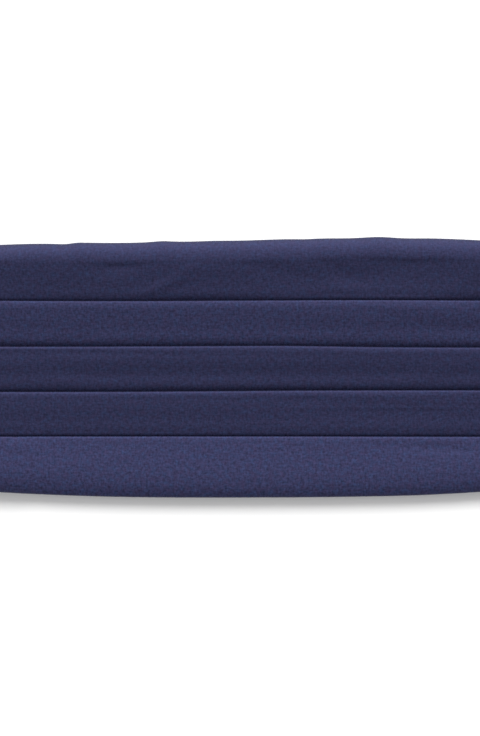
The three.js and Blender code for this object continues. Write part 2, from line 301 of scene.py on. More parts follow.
def colour(name, code, description):
    """A colour property whose default is an sRGB hex code."""
    return bpy.props.FloatVectorProperty(
        name=name,
        description=description,
        default=linear(code),
        min=0.0,
        max=1.0,
        size=3,
        subtype="COLOR",
    )


def linear(code):
    """Scene-linear colour of an sRGB hex code."""
    shares = [int(code[i : i + 2], 16) / 255 for i in (1, 3, 5)]
    return [c / 12.92 if c <= 0.04045 else ((c + 0.055) / 1.055) ** 2.4 for c in shares]


class ClothSizes(bpy.types.PropertyGroup):
    """Sizes of the pleated front and of the tabs."""

    panel_length: length("Panel length", frame_size("pleated_panel", 0) / MM, "End to end of the front")
    cloth: length("Cloth", 1.0, "Thickness of the folded cloth with its interlining")
    layer_gap: length("Layer gap", 0.25, "Gap between layers of the same cloth")
    clearance: length("Clearance", 0.3, "Gap between one piece and the next")
    top_band: length("Top band", 27.8, "Top edge to the first fold edge, at mid length")
    spacing: length("Pleat spacing", 21.2, "One fold edge to the next")
    bottom_band: length("Bottom band", 28.6, "Last fold edge to the bottom edge, at mid length")
    pleat_depth: length("Pleat depth", 8.0, "Reach of each fold's hidden cloth below its edge")
    crevice: length("Crevice", 2.9, "Width over which a band dips in under the next fold")
    tuck: length("Tuck", 1.4, "How far behind a fold edge the band above reaches its lowest layer")
    tight_at: length("Tight at", 1.0, "How far above a fold edge its tightness shows most")
    tight_width: length("Tight width", 0.8, "Half the width over which a fold's tightness shows")
    top_roll: length("Top roll", 10.0, "Width of the rounding along the top edge")
    bottom_roll: length("Bottom roll", 5.2, "Width of the rounding along the bottom edge")
    under_roll: length("Under roll", 8.0, "Width of the rounding behind either edge")
    floor_gap: length("Floor gap", 0.4, "Height of the rolled edges over the surface")
    back_margin: length("Back margin", 3.0, "How far past each thing beneath it the back stays level")
    clasp_fall: length("Clasp fall", 18.0, "Length over which the back comes down past the clasp")
    tail_fall: length("Tail fall", 16.0, "Length over which it comes down past a tail")
    tab_fall: length("Tab fall", 24.0, "Length over which it comes down past a tab")
    tab_reach: length("Tab reach", 44.0, "Panel's end to the tab's outer end")
    tab_overlap: length("Tab overlap", 10.0, "How far a tab takes in the panel's end")
    tab_corner: length("Tab corner", 4.0, "Width of the rounding along a tab's edges")
    tab_wall: length("Tab wall", 1.0, "Thickness of a tab's cloth")
    tab_hem: length("Tab hem", 7.0, "Width of the hem round a tab's mouth")
    hem_rise: length("Hem rise", 0.45, "How far the hem stands up from the tab")
    gather_rise: length("Gather rise", 0.5, "Height of the gathers where a tab narrows to its strap")
    lip: length("Lip", 0.4, "Rounding of a tab's cut edges")
    wave_rise: length("Wave rise", 0.08, "Height about which a tab's cloth waves")


class StrapSizes(bpy.types.PropertyGroup):
    """Sizes of the straps and of the clasp that they pass through."""

    width: length("Width", frame_size("strap_left", 1) / MM, "Width of a strap")
    thickness: length("Thickness", 1.0, "Thickness of a strap")
    in_tab: length("In tab", 14.0, "Length of strap held inside each tab")
    turn_out: length("Turn out", 2.0, "Length of strap between a tab's end and its turn")
    settle: length("Settle", 9.0, "Length over which the turned-back tail comes down")
    tail: length("Tail", 18.0, "Length of the turned-back tail past the clasp")
    tail_to_tab: length("Tail to tab", 5.0, "Left strap's tail to its tab's mouth")
    bar: length("Bar", 3.5, "Width of the clasp's outer bars")
    bridge: length("Bridge", 7.0, "Width of the bar between the clasp's slots")
    slot: length("Slot", 4.0, "Width of each of the clasp's slots")
    bar_slack: length("Bar slack", 0.5, "Gap between a bar and the strap's loop round it")
    edge_rounding: length("Edge rounding", 0.4, "Rounding of the webbing's selvedges")
    clasp_thickness: length("Clasp", frame_size("clasp", 2) / MM, "Thickness of the clasp")
    clasp_length: length("Clasp length", frame_size("clasp", 0) / MM, "Size of the clasp along the strap")
    clasp_width: length("Clasp width", frame_size("clasp", 1) / MM, "Width of the clasp")


class StitchSizes(bpy.types.PropertyGroup):
    """Sizes of the sewing on the tabs."""

    stitch: length("Stitch", 2.2, "Length of a stitch")
    spacing: length("Spacing", 3.2, "One stitch to the next")
    thread: length("Thread", 0.22, "Radius of the thread")
    sink: length("Sink", 0.1, "How far a stitch's middle lies in the cloth")
    dive: length("Dive", 0.25, "How far a stitch's ends dive into the cloth")
    hem_row: length("Hem row", 5.5, "A tab's mouth to the row that holds its hem")
    box_inset: length("Box inset", 3.0, "A tab's outer end to the box that holds its strap")
    box_length: length("Box length", 9.0, "Size of that box along the strap")
    box_width: length("Box width", 31.0, "Size of that box across the strap")


class Finishes(bpy.types.PropertyGroup):
    """Colours of the cloth, webbing, thread and metal."""

    warp: colour("Warp", "#1f1a2c", "Warmer, violet thread of the cloth")
    weft: colour("Weft", "#121b2e", "Cooler, blue thread of the cloth")
    webbing: colour("Webbing", "#26283f", "Straps")
    thread: colour("Thread", "#3a3d5e", "Sewing thread")
    metal: colour("Metal", "#b9b9bd", "Clasp's plating")


class StudioSettings(bpy.types.PropertyGroup):
    """The light, the surface and the camera."""

    key_height: bpy.props.FloatProperty(
        name="Key height",
        description="Angle of the key light over the surface",
        default=math.radians(32.5),
        subtype="ANGLE",
        unit="ROTATION",
    )
    key_softness: bpy.props.FloatProperty(
        name="Key softness",
        description="Angle that the key light fills as the cloth sees it",
        default=math.radians(59),
        subtype="ANGLE",
        unit="ROTATION",
    )
    key_strength: bpy.props.FloatProperty(
        name="Key strength", description="Irradiance of the key light", default=5.35, unit="POWER"
    )
    fill_strength: bpy.props.FloatProperty(
        name="Fill strength", description="Brightness of the pale room", default=0.66, subtype="FACTOR"
    )
    floor: colour("Surface", "#f3f3f3", "White board that the cummerbund lies on")
    lens: bpy.props.FloatProperty(
        name="Lens", description="Focal length, mm", default=100.0, unit="CAMERA"
    )
    view_height: length("View height", 344.3, "Height that the picture takes in at the front's level")
    view_rise: length("View rise", 0.4, "The picture's middle above the front's middle")


def lerp(start, end, share):
    """The value at a share of the way from start to end."""
    return start + (end - start) * share


def smooth(share):
    """Eases a share from 0 to 1, held outside them."""
    share = np.clip(share, 0, 1)
    return share * share * (3 - 2 * share)


def curve(x, y, at):
    """A smooth curve through points with rising x, read at places on x and held level outside."""
    x, y = np.asarray(x, float), np.asarray(y, float)
    slope = np.gradient(y, x)
    at = np.clip(np.asarray(at, float), x[0], x[-1])
    i = np.clip(np.searchsorted(x, at, side="right") - 1, 0, len(x) - 2)
    width = x[i + 1] - x[i]
    t = (at - x[i]) / width
    start = (1 + 2 * t) * (1 - t) ** 2 * y[i] + t * (1 - t) ** 2 * width * slope[i]
    end = t * t * (3 - 2 * t) * y[i + 1] + t * t * (t - 1) * width * slope[i + 1]
    return start + end


def column(rows, name, at):
    """A table's column as a smooth curve over the places along."""
    return curve([row["along"] for row in rows], [row[name] for row in rows], at)


def steps(span, size):
    """Shares from 0 to 1 that cut a span into steps of about a size."""
    return np.linspace(0, 1, max(2, round(float(span / size)) + 1))


class Heights:
    """Places along the loop and heights over the surface, worked out from what lies beneath."""

    def __init__(self, cloth, strap):
        self.pitch = cloth.cloth + cloth.layer_gap
        self.fold = 2 * self.pitch
        self.half_length = cloth.panel_length / 2
        self.half_height = (cloth.top_band + 3 * cloth.spacing + cloth.bottom_band) / 2
        self.first_fold = self.half_height - cloth.top_band
        self.flat_back = strap.clasp_width / 2 + cloth.cloth + cloth.clearance
        self.tab_mouth = self.half_length - cloth.tab_overlap
        self.clasp_reach = strap.clasp_length / 2
        self.tail_reach = self.clasp_reach + strap.tail
        self.clasp_place = self.tail_reach + strap.tail_to_tab - self.tab_mouth
        self.on_strap = strap.thickness + cloth.clearance
        self.clasp_stack = self.on_strap + strap.clasp_thickness + cloth.clearance + strap.thickness
        self.over_clasp = self.clasp_stack + cloth.clearance
        self.over_tail = self.on_strap + strap.thickness + cloth.clearance
        self.in_tab = self.on_strap + cloth.tab_wall + cloth.clearance

    def back(self, x, cloth):
        """Height of the back's underside at places along the loop."""
        lifts = [
            (-self.half_length, cloth.tab_overlap, self.in_tab, cloth.tab_fall),
            (self.clasp_place, self.tail_reach, self.over_tail, cloth.tail_fall),
            (self.clasp_place, self.clasp_reach, self.over_clasp, cloth.clasp_fall),
            (self.half_length, cloth.tab_overlap, self.in_tab, cloth.tab_fall),
        ]
        past = [np.abs(x - middle) - reach - cloth.back_margin for middle, reach, _, _ in lifts]
        return np.max(
            [lerp(lift[2], self.on_strap, smooth(over / lift[3])) for lift, over in zip(lifts, past)], 0
        )


def panel_at(along, cloth, strap):
    """The panel's outline and heights at shares of its half length."""
    high = Heights(cloth, strap)
    sag = column(PANEL_SECTIONS, "sag", along)
    back = high.back(along * high.half_length, cloth)
    edge = lerp(back, cloth.floor_gap, sag)
    return {
        "top": column(PANEL_SECTIONS, "top", along) * high.half_height,
        "bottom": -column(PANEL_SECTIONS, "bottom", along) * high.half_height,
        "back": back + cloth.cloth / 2,
        "edge": edge + cloth.cloth / 2,
        "layer": back + cloth.cloth + cloth.layer_gap + cloth.cloth / 2,
        "top_level": lerp(TAB_EDGE_LEVEL, TOP_EDGE_LEVEL, sag),
        "bottom_level": lerp(TAB_EDGE_LEVEL, BOTTOM_EDGE_LEVEL, sag),
    }


def profile(*stretches):
    """Joins tables of shares, each with the length it covers, into places down, heights and swells."""
    down, height, swell, start = [], [], [], 0.0
    for rows, span in stretches:
        down += [start + row["down"] * span for row in rows]
        height += [row["height"] for row in rows]
        swell += [row.get("swell", 0.0) for row in rows]
        start += span
    return down, height, swell


def wrinkle_rise(x, y):
    """Height that the wrinkles add to the front at places in metres."""
    x, y = x / MM, y / MM
    rise = np.zeros(np.broadcast(x, y).shape)
    for row in WRINKLES:
        turn = math.radians(row["turn"])
        along = (x - row["x"]) * math.cos(turn) + (y - row["y"]) * math.sin(turn)
        across = (y - row["y"]) * math.cos(turn) - (x - row["x"]) * math.sin(turn)
        rise += row["rise"] * np.exp(-((along / row["long"]) ** 2) - (across / row["wide"]) ** 2)
    return rise * MM


def soft_waves(x, y, count, spans, slope, seed):
    """Height of many faint waves laid over each other, with an even share of slope for each."""
    random = np.random.default_rng(seed)
    rise = np.zeros(np.broadcast(x, y).shape)
    for _ in range(count):
        span = random.uniform(*spans)
        turn = random.uniform(0, math.pi)
        start = random.uniform(0, 2 * math.pi)
        phase = (x * math.cos(turn) + y * math.sin(turn)) * 2 * math.pi / span + start
        rise += np.sin(phase) * slope * span / (2 * math.pi) / math.sqrt(count)
    return rise


def arc(centre_y, centre_z, radius, start, turn, count):
    """Points on an arc of a share of a full turn."""
    angle = start + 2 * math.pi * turn * np.linspace(0, 1, count)
    return centre_y + radius * np.cos(angle), centre_z + radius * np.sin(angle)


def quarter(centre_y, centre_z, reach_y, reach_z, turns):
    """Points of a roll from its crest or back, at turn 0, to its outermost line, at turn 1."""
    angle = turns * math.pi / 2
    return centre_y + reach_y * np.sin(angle), centre_z + reach_z * np.cos(angle)


def panel_paths(along, cloth, strap):
    """Middle line of the folded cloth at each section: down the front, round the bottom, up the back."""
    high = Heights(cloth, strap)
    along = along[:, None]
    x = along * high.half_length
    place = panel_at(along, cloth, strap)
    edge, layer = place["edge"], place["layer"]
    top = place["top"] + column(TOP_DRIFT, "edge", along) * MM
    bottom = place["bottom"] + column(BOTTOM_DRIFT, "edge", along) * MM
    half = cloth.cloth / 2
    top_crest = top - cloth.top_roll + column(TOP_DRIFT, "crest", along) * MM
    bottom_crest = bottom + cloth.bottom_roll + column(BOTTOM_DRIFT, "crest", along) * MM
    top_z = layer + TOP_SURFACE[0]["height"] * high.fold
    bottom_z = layer + BOTTOM_SURFACE[-1]["height"] * high.fold
    top_edge = lerp(edge, top_z, place["top_level"])
    bottom_edge = lerp(edge, bottom_z, place["bottom_level"])
    under_top, under_bottom = top - cloth.under_roll, bottom + cloth.under_roll
    straight_down = -math.pi / 2
    turns = np.linspace(0, 1, 13)[:-1]
    fine, coarse = 0.8 * MM, 2.5 * MM
    crest_ease, fold_ease = 1.6 * MM, 2.5 * MM  # lengths over which creases fade out at a crest or a fold
    parts = []

    def front(shape, from_y, to_y, over_fold, fullness, tightness):
        """A stretch of the front down to a fold edge, or to the bottom roll if there's no tightness."""
        down, height, swell = shape
        end, to_fold = down[-1], tightness is not None
        at = steps(end, fine)[1:] * end
        y = lerp(from_y, to_y - cloth.tuck if to_fold else to_y, at / end)
        loose = smooth(at / (fold_ease if over_fold else crest_ease))
        if to_fold:
            loose = loose * smooth((end - cloth.tuck - cloth.crevice / 2 - at) / fold_ease)
        moved = wrinkle_rise(x, y) + soft_waves(x, y, count=40, spans=(9 * MM, 34 * MM), slope=0.007, seed=5)
        stands = curve(down, height, at) + fullness * curve(down, swell, at)
        z = layer + stands * high.fold + loose * moved
        if over_fold:
            lowest = layer + cloth.cloth + high.pitch + cloth.layer_gap / 4
            z = np.where(at < cloth.pleat_depth - half, np.maximum(z, lowest), z)
        if to_fold:
            z = z + tightness * MM * np.exp(-(((y - to_y - cloth.tight_at) / cloth.tight_width) ** 2))
        parts.append((y, z))

    parts.append(quarter(top_crest, top_edge, top - top_crest - half, top_z - top_edge, 1 - turns))
    top_span = high.half_height - cloth.top_roll - high.first_fold - cloth.crevice
    shape = profile((TOP_SURFACE, top_span), (INTO_CREVICE, cloth.crevice), (UNDER_EDGE, cloth.tuck))
    fold_edges = [
        high.first_fold - i * cloth.spacing + column(FOLD_DRIFT, name, along) * MM
        for i, name in enumerate(FOLD_NAMES)
    ]
    tightness = [column(FOLD_TIGHTNESS, name, along) for name in FOLD_NAMES]
    fullness = [column(FOLD_SWELL, name, along) for name in FOLD_NAMES]
    parts.append((top_crest, top_z))
    front(shape, top_crest, fold_edges[0], False, 0.0, tightness[0])
    over = half + high.pitch / 2
    for i, fold_y in enumerate(fold_edges):
        behind = fold_y - cloth.pleat_depth
        hidden = steps(cloth.pleat_depth, coarse)[1:-1]
        parts.append((lerp(fold_y - cloth.tuck, behind, hidden), layer))
        parts.append(arc(behind, layer + high.pitch / 2, high.pitch / 2, straight_down, -0.5, 8))
        parts.append((lerp(behind, fold_y - over, hidden), layer + high.pitch))
        parts.append(arc(fold_y - over, layer + 1.5 * high.pitch, high.pitch / 2, straight_down, 0.5, 11))
        hidden_span = cloth.pleat_depth - over
        if i + 1 < len(fold_edges):
            open_span = cloth.spacing - cloth.pleat_depth - cloth.crevice
            shape = profile(
                (OVER_FOLD, hidden_span),
                (BELOW_FOLD, open_span),
                (INTO_CREVICE, cloth.crevice),
                (UNDER_EDGE, cloth.tuck),
            )
            front(shape, fold_y - over, fold_edges[i + 1], True, fullness[i], tightness[i + 1])
        else:
            span = cloth.bottom_band - over - cloth.bottom_roll
            front(profile((BOTTOM_SURFACE, span)), fold_y - over, bottom_crest, True, fullness[i], None)
    roll_turns = np.append(turns[1:], 1)
    roll_reach = bottom + half - bottom_crest
    parts.append(quarter(bottom_crest, bottom_edge, roll_reach, bottom_z - bottom_edge, roll_turns))
    under_reach = cloth.under_roll - half
    parts.append(quarter(under_bottom, bottom_edge, -under_reach, edge - bottom_edge, 1 - roll_turns))
    shares = steps(high.half_height - high.flat_back, coarse)[1:]
    falling = lerp(edge, place["back"], smooth(shares))
    parts.append((lerp(under_bottom, -high.flat_back, shares), falling))
    level = steps(2 * high.flat_back, coarse)[1:-1]
    parts.append((lerp(-high.flat_back, high.flat_back, level), place["back"]))
    shares = shares - shares[0]
    falling = lerp(place["back"], edge, smooth(shares))
    parts.append((lerp(high.flat_back, under_top, shares), falling))
    parts.append(quarter(under_top, top_edge, under_reach, edge - top_edge, turns))
    return full_grid(parts, x)


def band_painted_shading(along, y, cloth, strap):
    """Painted light and shade in the cloth's colour at places y on each section: each band is made lighter
    or darker, and this changes at each fold edge.
    """
    # The painted shading steps from one band's value to the next over this width.
    width = 0.6 * MM  # over which the tone changes at a fold
    painted_shading = np.full_like(y, BAND_PAINTED_SHADING[0])
    for i, (name, change) in enumerate(zip(FOLD_NAMES, np.diff(BAND_PAINTED_SHADING))):
        drift = column(FOLD_DRIFT, name, along[:, None]) * MM
        fold_y = Heights(cloth, strap).first_fold - i * cloth.spacing + drift
        painted_shading += change * smooth((fold_y + width / 2 - y) / width)
    return painted_shading


def set_painted_shading(piece, painted_shading):
    """Gives a piece's points how much painted light or shade their cloth's colour has: 1 paints none."""
    values = np.array(np.broadcast_to(painted_shading, len(piece.data.vertices)), np.float32)
    piece.data.attributes.new("painted_shading", "FLOAT", "POINT").data.foreach_set("value", values)


def full_grid(parts, x):
    """Joins stretches of points into one grid each of y and z, with a row for each place x."""
    grids = [[], []]
    for part in parts:
        shape = np.broadcast_shapes(*(np.shape(axis) for axis in part), x.shape)
        for grid, axis in zip(grids, part):
            grid.append(np.broadcast_to(axis, shape))
    return [np.concatenate(grid, 1) for grid in grids]


def offset(y, z, distance):
    """Moves closed paths sideways in their own plane: outwards if the distance is negative."""
    step_y = np.roll(y, -1, 1) - np.roll(y, 1, 1)
    step_z = np.roll(z, -1, 1) - np.roll(z, 1, 1)
    size = np.hypot(step_y, step_z)
    return y - step_z / size * distance, z + step_y / size * distance


def panel_top(along, cloth, strap):
    """The highest the front reaches at a share of its half length."""
    high = Heights(cloth, strap)
    crest = max(row["height"] for row in TOP_SURFACE + BOTTOM_SURFACE)
    return panel_at(along, cloth, strap)["layer"] + crest * high.fold + cloth.cloth / 2


def tab_space(side, at, cloth, strap):
    """The space inside a tab at distances from its mouth: over the front's end, then down to the strap."""
    high = Heights(cloth, strap)
    x = high.tab_mouth + at
    place = panel_at(side * np.minimum(x / high.half_length, 1.0), cloth, strap)
    panel = column(TAB_TAPER, "panel", (x - high.half_length) / cloth.tab_reach)
    strap_side = strap.width / 2 + cloth.clearance
    wide = panel_top(side * high.tab_mouth / high.half_length, cloth, strap) + cloth.clearance
    return {
        "x": x,
        "top": lerp(strap_side, place["top"] + cloth.clearance, panel),
        "bottom": lerp(-strap_side, place["bottom"] - cloth.clearance, panel),
        "low": high.in_tab - cloth.clearance,
        "high": lerp(high.in_tab + strap.thickness + cloth.clearance, wide, panel),
        "corner": lerp(cloth.clearance, cloth.tab_corner, panel),
    }


TAB_ACROSS = np.linspace(0, 1, 62)[1:-1]  # shares of the way over a tab's level top or underside
TAB_TURNS = np.linspace(0, math.pi, 13)  # turns round either of its edges


def tab_facing():
    """How much each point round a tab faces up: 1 on its top and 0 underneath."""
    turn = (1 + np.cos(TAB_TURNS)) / 2
    return np.concatenate([np.ones_like(TAB_ACROSS), turn, np.zeros_like(TAB_ACROSS), 1 - turn])


def tab_ring(space, wall):
    """Closed curves round a tab's space, a wall outside it, over its top and back below it."""
    top, bottom, low, high, corner = (
        np.broadcast_to(space[key], space["x"].shape)[:, None]
        for key in ("top", "bottom", "low", "high", "corner")
    )
    middle, half = (low + high) / 2, (high - low) / 2
    upper, lower = top - corner, bottom + corner
    across, turns = len(TAB_ACROSS), len(TAB_TURNS)
    cuts = np.cumsum([across, turns, across])
    over, left, under, right = np.split(wall, cuts, 1)
    y = [
        lerp(upper, lower, TAB_ACROSS),
        lower - (corner + left) * np.sin(TAB_TURNS),
        lerp(lower, upper, TAB_ACROSS),
        upper + (corner + right) * np.sin(TAB_TURNS),
    ]
    z = [
        middle + half + over,
        middle + (half + left) * np.cos(TAB_TURNS),
        middle - half - under,
        middle - (half + right) * np.cos(TAB_TURNS),
    ]
    return np.concatenate(y, 1), np.concatenate(z, 1)


def tab_wall(at, y, reach, cloth):
    """Thickness of a tab's cloth: a hem round its mouth, gathers before the strap and soft waves."""
    at = at[:, None]
    hem_step, wave_ease, gather_end = 1.2 * MM, 4 * MM, 6 * MM  # lengths over which each one fades out
    gather_start, gather_grow = 0.3 * reach, 0.35 * reach
    gather_turns, lean = 5 * math.pi, 3  # of the gathers across half the tab, and their slant, in radians
    hem = cloth.hem_rise * smooth((cloth.tab_hem - at) / hem_step)
    across = y / np.abs(y).max(1, keepdims=True)
    gathered = smooth((at - gather_start) / gather_grow) * smooth((reach - at) / gather_end)
    gathers = cloth.gather_rise * gathered * (1 + np.cos(gather_turns * across + lean * at / reach)) / 2
    waves = cloth.wave_rise * smooth((at - cloth.tab_hem) / wave_ease)
    uneven = soft_waves(at, y, count=12, spans=(11 * MM, 30 * MM), slope=0.5, seed=9)
    waves = waves * (1 + uneven / (4 * MM))
    from_edge = np.minimum(at, reach - at) / cloth.lip
    lip = cloth.lip * (1 - np.sqrt(1 - np.clip(1 - from_edge, 0, 1) ** 2))
    return cloth.tab_wall - lip + tab_facing() * (hem + gathers + waves)


def strap_line(tab_end, cloth, strap):
    """A strap's middle line seen from the side, measured from the clasp's middle: out of the tab, round
    under it, along the surface, up through the clasp's slot and back down onto itself."""
    high = Heights(cloth, strap)
    half = strap.thickness / 2
    in_tab = high.in_tab + half
    turn_radius = (in_tab - half) / 2
    turn_x = tab_end + strap.turn_out
    bar_inner = strap.bridge / 2 + strap.slot
    bar_outer = bar_inner + strap.bar
    loop_radius = (high.clasp_stack - strap.thickness) / 2
    loop_x = bar_inner - strap.bar_slack - half + loop_radius
    over_bar, on_strap = high.clasp_stack - half, high.on_strap + half
    quarter_turn = math.pi / 2
    settled = bar_outer + strap.settle

    def run(start, end, height, size):
        shares = steps(abs(end - start), size)
        return lerp(start, end, shares), np.full_like(shares, height)

    shares = steps(strap.settle, 1 * MM)
    parts = [
        run(tab_end - strap.in_tab, turn_x, in_tab, 2 * MM),
        [axis[1:] for axis in arc(turn_x, half + turn_radius, turn_radius, quarter_turn, -0.5, 15)],
        [axis[1:-1] for axis in run(turn_x, loop_x, half, 3 * MM)],
        arc(loop_x, half + loop_radius, loop_radius, -quarter_turn, -0.5, 17),
        (lerp(bar_outer, settled, shares), lerp(over_bar, on_strap, smooth(shares))),
        [axis[1:] for axis in run(settled, high.tail_reach, on_strap, 2 * MM)],
    ]
    return [np.concatenate(axis) for axis in zip(*parts)]


def webbing_section(strap):
    """Half widths and heights round a strap's section, whose selvedges are rounded."""
    radius, half = strap.edge_rounding, strap.thickness / 2
    flat = strap.width / 2 - radius
    shares = steps(2 * flat, 3 * MM)
    turns = np.linspace(0, math.pi, 7)[1:-1]
    v = [lerp(flat, -flat, shares), -flat - radius * np.sin(turns)]
    h = [np.full_like(shares, half), half * np.cos(turns)]
    return np.concatenate(v + [-part for part in v]), np.concatenate(h + [-part for part in h])


def webbing(name, side, cloth, strap, material):
    """A strap: its section swept along its middle line. Gives the piece and the strap's length."""
    high = Heights(cloth, strap)
    tab_end = high.half_length + cloth.tab_reach - side * high.clasp_place
    x, z = strap_line(tab_end, cloth, strap)
    tangent = np.stack([np.gradient(x), np.gradient(z)])
    tangent /= np.hypot(*tangent)
    v, h = webbing_section(strap)
    along = np.concatenate([[0.0], np.cumsum(np.hypot(np.diff(x), np.diff(z)))])
    grid = np.stack(
        [
            high.clasp_place + side * (x[:, None] - tangent[1][:, None] * h),
            side * np.broadcast_to(v, (len(x), len(v))),
            z[:, None] + tangent[0][:, None] * h,
        ],
        2,
    )
    return rod(name, grid, along, v, material), float(along[-1])


def cells(sections, count):
    """The cells of a grid that closes round, each as its section and its place round."""
    return [a.ravel() for a in np.meshgrid(np.arange(sections - 1), np.arange(count), indexing="ij")]


def rod(name, grid, along, across, material):
    """A solid swept piece from a grid of points, sections by points round, with a flat cap at each end."""
    sections, count, _ = grid.shape
    i, j = cells(sections, count)
    quads = [(i, j), (i + 1, j), (i + 1, j + 1), (i, j + 1)]
    faces = np.stack([a * count + b % count for a, b in quads], 1).tolist()
    uvs = [np.stack([np.stack([along[a], across[b % count]], 1) for a, b in quads], 1).reshape(-1, 2)]
    for section, order in ((0, np.arange(count)), (sections - 1, np.arange(count)[::-1])):
        faces.append((section * count + order).tolist())
        uvs.append(np.stack([np.full(count, along[section]), across[order]], 1))
    return new_piece(name, grid.reshape(-1, 3), faces, np.concatenate(uvs), material)


def stitch_mesh(name, stitches, along, across, material):
    """Joins stitches, each a grid of points with closed ends, into one piece."""
    sections, count = along.shape
    i, j = cells(sections, count)
    quads = [(i, j), (i, j + 1), (i + 1, j + 1), (i + 1, j)]
    one = np.stack([a * count + b % count for a, b in quads], 1).tolist()
    one += [list(range(count))[::-1], list(range((sections - 1) * count, sections * count))]
    size = sections * count
    faces = [[n * size + corner for corner in face] for n in range(len(stitches)) for face in one]
    flat = np.stack([along, across], 2).reshape(-1, 2)
    uvs = np.tile(flat[np.concatenate(one)], (len(stitches), 1))
    return new_piece(name, np.concatenate([s.reshape(-1, 3) for s in stitches]), faces, uvs, material)


def stitch_row(start, end, spacing):
    """Places of a row of stitches between two points on the flat, and the row's direction."""
    start, end = np.asarray(start), np.asarray(end)
    span = float(np.linalg.norm(end - start))
    count = max(1, round(span / spacing))
    middles = (np.arange(count) + 0.5) / count
    return [(lerp(start, end, share), (end - start) / span) for share in middles]


def tab_stitch_rows(side, cloth, strap, sizes):
    """Rows of stitches on a tab: along its hem, and a box that holds its strap. Each row is given with
    whether it is on the tab's top and its underside."""
    high = Heights(cloth, strap)
    hem_x = side * (high.tab_mouth + sizes.hem_row)
    space = tab_space(side, np.array([sizes.hem_row]), cloth, strap)
    top, bottom = float(space["top"][0]) - cloth.tab_corner, float(space["bottom"][0]) + cloth.tab_corner
    beside = strap.width / 2 + 2 * sizes.spacing / 3
    outer = side * (high.half_length + cloth.tab_reach - sizes.box_inset)
    inner, reach = outer - side * sizes.box_length, sizes.box_width / 2
    corners = [(outer, -reach), (outer, reach), (inner, reach), (inner, -reach), (outer, -reach)]
    rows = [((hem_x, bottom), (hem_x, top), True)]
    rows += [((hem_x, bottom), (hem_x, -beside), False), ((hem_x, beside), (hem_x, top), False)]
    for start, end in zip(corners, corners[1:]):
        rows += [(start, end, True), (start, end, False)]
    return rows


def stitch_shape(sizes):
    """One stitch about its own middle: places along, across and up of each point, and its sections."""
    turn = np.linspace(-1, 1, 7) * math.radians(80)
    round_turn = np.linspace(0, 2 * math.pi, 7)[:-1]
    radius = sizes.thread * np.cos(turn)[:, None]
    shape = (len(turn), len(round_turn))
    along = np.broadcast_to(np.sin(turn)[:, None] * sizes.stitch / 2, shape)
    across = radius * np.cos(round_turn)
    up = radius * np.sin(round_turn) - sizes.sink - sizes.dive * np.sin(turn)[:, None] ** 4
    return along, across, up


def new_piece(name, vertices, faces, uvs, material):
    """A smooth-shaded object from vertices, faces and the faces' corners on the flat cloth."""
    mesh = bpy.data.meshes.new(name)
    mesh.from_pydata(vertices.tolist(), [], [list(face) for face in faces])
    layer = mesh.uv_layers.new(name="cloth")
    layer.data.foreach_set("uv", np.asarray(uvs, np.float32).ravel())
    mesh.polygons.foreach_set("use_smooth", np.ones(len(mesh.polygons), bool))
    mesh.materials.append(material)
    mesh.update()
    piece = bpy.data.objects.new(name, mesh)
    bpy.context.scene.collection.objects.link(piece)
    return piece


def sleeve(name, outer, inner, material):
    """A cloth tube with two skins joined at both ends, each a grid of points: sections by points round."""
    sections, count, _ = outer.shape
    vertices = np.concatenate([outer.reshape(-1, 3), inner.reshape(-1, 3)])
    i, j = cells(sections, count)
    closed = np.concatenate([outer, outer[:, :1]], 1)
    around = np.linalg.norm(np.diff(closed, axis=1), axis=2)
    around = np.concatenate([np.zeros((sections, 1)), np.cumsum(around, 1)], 1)
    along = outer[:, :, 0].mean(1)

    def corner(i, j, skin):
        return skin * sections * count + i * count + j % count

    def flat(i, j):
        return np.stack([along[i], around[i, j]], 1)

    faces, uvs = [], []

    def quads(*corners):
        faces.append(np.stack([corner(*c) for c in corners], 1))
        uvs.append(np.stack([flat(c[0], c[1]) for c in corners], 1))

    quads((i, j, 0), (i, j + 1, 0), (i + 1, j + 1, 0), (i + 1, j, 0))
    quads((i, j, 1), (i + 1, j, 1), (i + 1, j + 1, 1), (i, j + 1, 1))
    rim = np.arange(count)
    first, last = np.zeros(count, int), np.full(count, sections - 1)
    quads((first, rim, 0), (first, rim, 1), (first, rim + 1, 1), (first, rim + 1, 0))
    quads((last, rim, 0), (last, rim + 1, 0), (last, rim + 1, 1), (last, rim, 1))
    return new_piece(name, vertices, np.concatenate(faces), np.concatenate(uvs), material)


def add_node(tree, kind, inputs, **settings):
    """Adds a shader node with its settings. An input takes a value, or an earlier node's output."""
    node = tree.nodes.new("ShaderNode" + kind)
    for name, value in settings.items():
        setattr(node, name, value)
    for key, value in inputs.items():
        if isinstance(value, bpy.types.NodeSocket):
            tree.links.new(value, node.inputs[key])
        else:
            node.inputs[key].default_value = value
    return node


def new_material(name):
    """A material with an empty tree, and its tree."""
    material = bpy.data.materials.new(name)
    material.use_nodes = True
    material.node_tree.nodes.clear()
    return material, material.node_tree


def noise(tree, place, size_mm, detail, roughness=0.5, dimensions="2D"):
    """A noise texture whose broadest patches are about a size."""
    inputs = {"Vector": place, "Scale": 1 / (size_mm * MM), "Detail": detail, "Roughness": roughness}
    return add_node(tree, "TexNoise", inputs, noise_dimensions=dimensions).outputs[0]


def ranged(tree, value, start, end):
    """A value moved from one range to another, and held in it."""
    ends = zip(("From Min", "From Max", "To Min", "To Max"), (*start, *end))
    return add_node(tree, "MapRange", {"Value": value, **dict(ends)}).outputs[0]


def calculated(tree, operation, first, second):
    """Two values added or multiplied."""
    return add_node(tree, "Math", {0: first, 1: second}, operation=operation).outputs[0]


def lightened(tree, colour, value):
    """A colour made as many times as light as a value."""
    return add_node(tree, "HueSaturation", {"Color": colour, "Value": value}).outputs[0]


def bumped(tree, height, distance_mm, strength=1.0):
    """The surface's direction where bumps stand up by a distance."""
    inputs = {"Height": height, "Strength": strength, "Distance": distance_mm * MM}
    return add_node(tree, "Bump", inputs).outputs[0]


